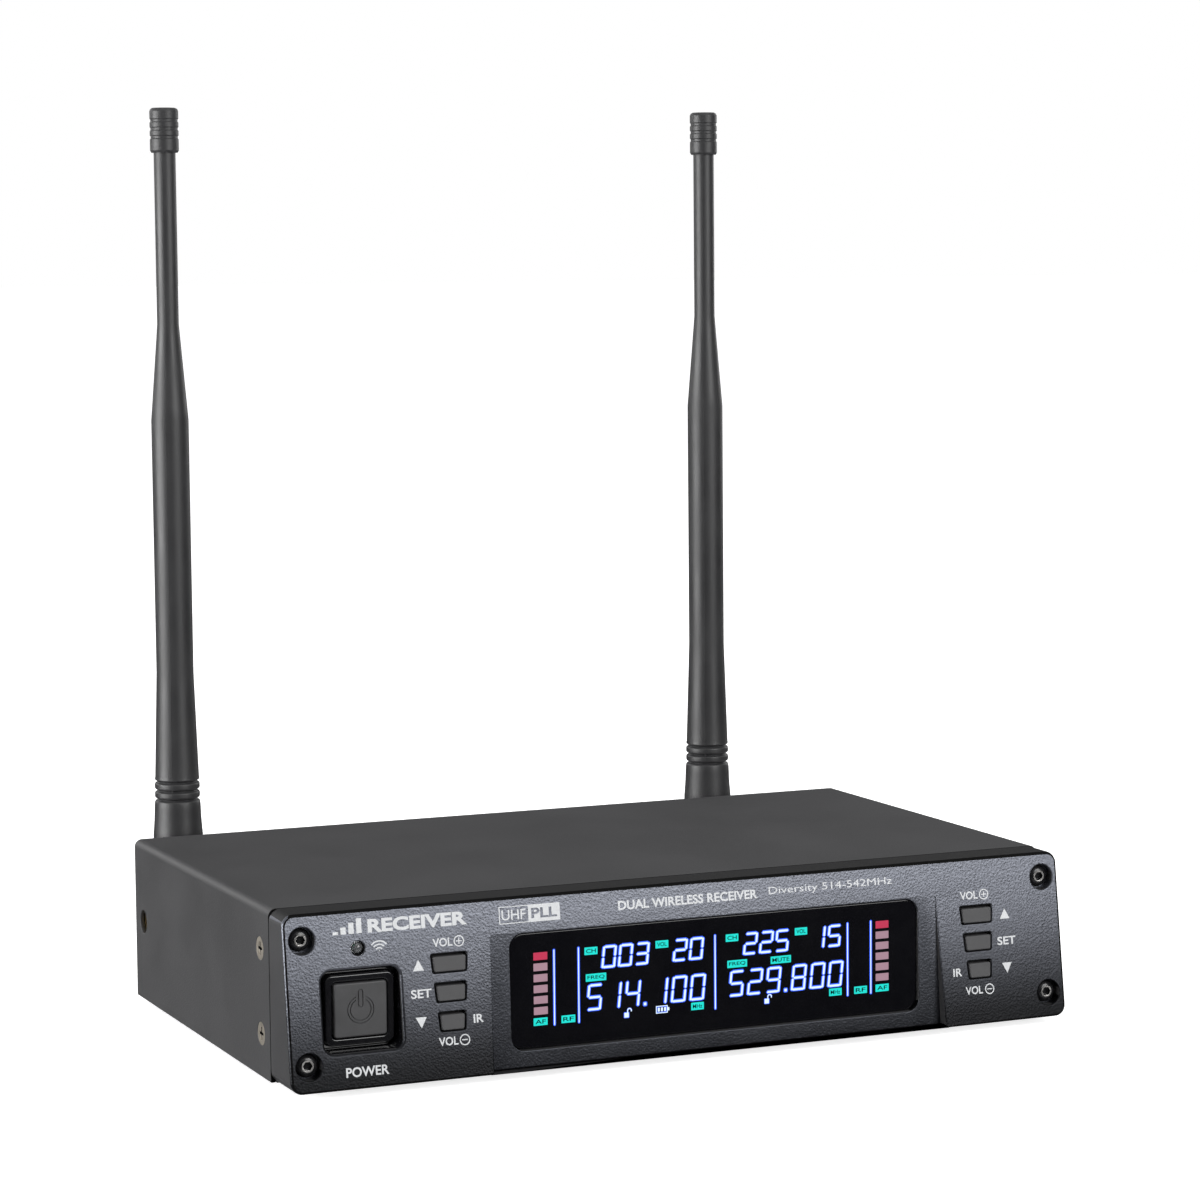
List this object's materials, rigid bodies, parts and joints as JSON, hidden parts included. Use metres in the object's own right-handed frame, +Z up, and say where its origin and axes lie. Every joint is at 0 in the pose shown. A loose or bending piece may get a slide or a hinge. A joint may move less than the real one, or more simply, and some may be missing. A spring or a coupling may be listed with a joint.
{
  "type": "wireless microphone receiver",
  "caption": "Half-rack wireless receiver: steel enclosure, raked bezel with a display, power button and key pads, rear audio sockets and articulated whip antennas that swivel and fold.",
  "frame": {"origin": "on the surface that the feet stand on, under the middle of the whole object's width and depth", "axes": "+X to the viewer's right when facing the display, +Y to the rear, +Z up"},
  "size_m": [0.212, 0.1768, 0.242],
  "materials": {
    "cover_paint": "fine-textured matte powder coat",
    "chassis_paint": "matte powder coat",
    "bezel_paint": "satin metallic blue-grey paint over a fine leather grain",
    "gloss_black": "polished moulded plastic",
    "key_plastic": "spark-eroded matte",
    "black_plastic": "moulded satin",
    "white_plastic": "moulded satin",
    "rubber": "matte moulded rubber",
    "display_glass": "coated flat glass",
    "window_lens": "polished smoked acrylic",
    "led_lens": "clear moulded dome",
    "screw_steel": "zinc-plated and passivated",
    "black_screw": "black nickel",
    "nickel": "bright nickel plate",
    "tinplate": "tin-plated sheet",
    "brass": "turned",
    "copper": "drawn wire",
    "board": "solder mask over glass laminate",
    "ribbon": "ribbed vinyl"
  },
  "bodies": {
    "receiver": {"base_tray": "chassis_paint", "top_cover": "cover_paint", "rear_panel": "chassis_paint", "front_bezel": "bezel_paint", "rubber_feet": "rubber", "bezel_screws": "black_screw", "side_screws": "screw_steel", "base_screws": "screw_steel", "rear_screws": "black_screw", "side_inserts": "brass", "display_window": "window_lens", "display_panel": "display_glass", "display_holder": "white_plastic", "power_surround": "gloss_black", "power_switch": "black_plastic", "key_switches": "black_plastic", "status_led": "led_lens", "front_board": "board", "front_board_screws": "screw_steel", "main_board": "board", "board_standoffs": "brass", "board_screws": "screw_steel", "rf_shield_left": "tinplate", "rf_shield_right": "tinplate", "capacitors": "gloss_black", "chips": "black_plastic", "ribbon_headers": "black_plastic", "ribbon_cable": "ribbon", "coax_leads": "rubber", "xlr_output_a": "black_plastic", "xlr_output_b": "black_plastic", "xlr_pins": "nickel", "xlr_screws": "black_screw", "mix_jack": "black_plastic", "mix_jack_nut": "nickel", "supply_inlet": "black_plastic", "supply_inlet_pin": "nickel", "antenna_socket_left": "nickel", "antenna_socket_right": "nickel", "socket_nuts": "nickel"},
    "power_cap": {"power_button": "key_plastic"},
    "left_up": {"left_up_key": "key_plastic"},
    "left_set": {"left_set_key": "key_plastic"},
    "left_down": {"left_down_key": "key_plastic"},
    "right_up": {"right_up_key": "key_plastic"},
    "right_set": {"right_set_key": "key_plastic"},
    "right_down": {"right_down_key": "key_plastic"},
    "ring_left": {"coupling_ring_left": "nickel"},
    "elbow_left": {"knuckle_left": "black_plastic"},
    "antenna_left": {"whip_left": "rubber", "whip_core_left": "copper", "end_cap_left": "rubber", "hinge_pin_left": "screw_steel"},
    "ring_right": {"coupling_ring_right": "nickel"},
    "elbow_right": {"knuckle_right": "black_plastic"},
    "antenna_right": {"whip_right": "rubber", "whip_core_right": "copper", "end_cap_right": "rubber", "hinge_pin_right": "screw_steel"}
  },
  "joints": [
    {"name": "power_push", "type": "slide", "parent": "receiver", "child": "power_cap", "axis": [0, 1, 0], "range_m": [0, 0.0024], "stiffness_N_per_m": 900, "springref_m": -0.001},
    {"name": "left_up_press", "type": "slide", "parent": "receiver", "child": "left_up", "axis": [0, 1, 0], "range_m": [0, 0.0005], "stiffness_N_per_m": 2000, "springref_m": -0.0003},
    {"name": "left_set_press", "type": "slide", "parent": "receiver", "child": "left_set", "axis": [0, 1, 0], "range_m": [0, 0.0005], "stiffness_N_per_m": 2000, "springref_m": -0.0003},
    {"name": "left_down_press", "type": "slide", "parent": "receiver", "child": "left_down", "axis": [0, 1, 0], "range_m": [0, 0.0005], "stiffness_N_per_m": 2000, "springref_m": -0.0003},
    {"name": "right_up_press", "type": "slide", "parent": "receiver", "child": "right_up", "axis": [0, 1, 0], "range_m": [0, 0.0005], "stiffness_N_per_m": 2000, "springref_m": -0.0003},
    {"name": "right_set_press", "type": "slide", "parent": "receiver", "child": "right_set", "axis": [0, 1, 0], "range_m": [0, 0.0005], "stiffness_N_per_m": 2000, "springref_m": -0.0003},
    {"name": "right_down_press", "type": "slide", "parent": "receiver", "child": "right_down", "axis": [0, 1, 0], "range_m": [0, 0.0005], "stiffness_N_per_m": 2000, "springref_m": -0.0003},
    {"name": "ring_turn_left", "type": "hinge", "parent": "receiver", "child": "ring_left", "pos_m": [-0.0824, 0.05237, 0.02325], "axis": [0, 1, 0], "range_deg": [0, 90]},
    {"name": "swivel_left", "type": "hinge", "parent": "receiver", "child": "elbow_left", "pos_m": [-0.0824, 0.06338, 0.02325], "axis": [0, 1, 0], "range_deg": [-90, 20]},
    {"name": "fold_left", "type": "hinge", "parent": "elbow_left", "child": "antenna_left", "pos_m": [-0.0824, 0.08148, 0.02325], "axis": [1, 0, 0], "range_deg": [-90, 0]},
    {"name": "ring_turn_right", "type": "hinge", "parent": "receiver", "child": "ring_right", "pos_m": [0.0824, 0.05237, 0.02325], "axis": [0, 1, 0], "range_deg": [0, 90]},
    {"name": "swivel_right", "type": "hinge", "parent": "receiver", "child": "elbow_right", "pos_m": [0.0824, 0.06338, 0.02325], "axis": [0, 1, 0], "range_deg": [-20, 90]},
    {"name": "fold_right", "type": "hinge", "parent": "elbow_right", "child": "antenna_right", "pos_m": [0.0824, 0.08148, 0.02325], "axis": [1, 0, 0], "range_deg": [-90, 0]}
  ]
}
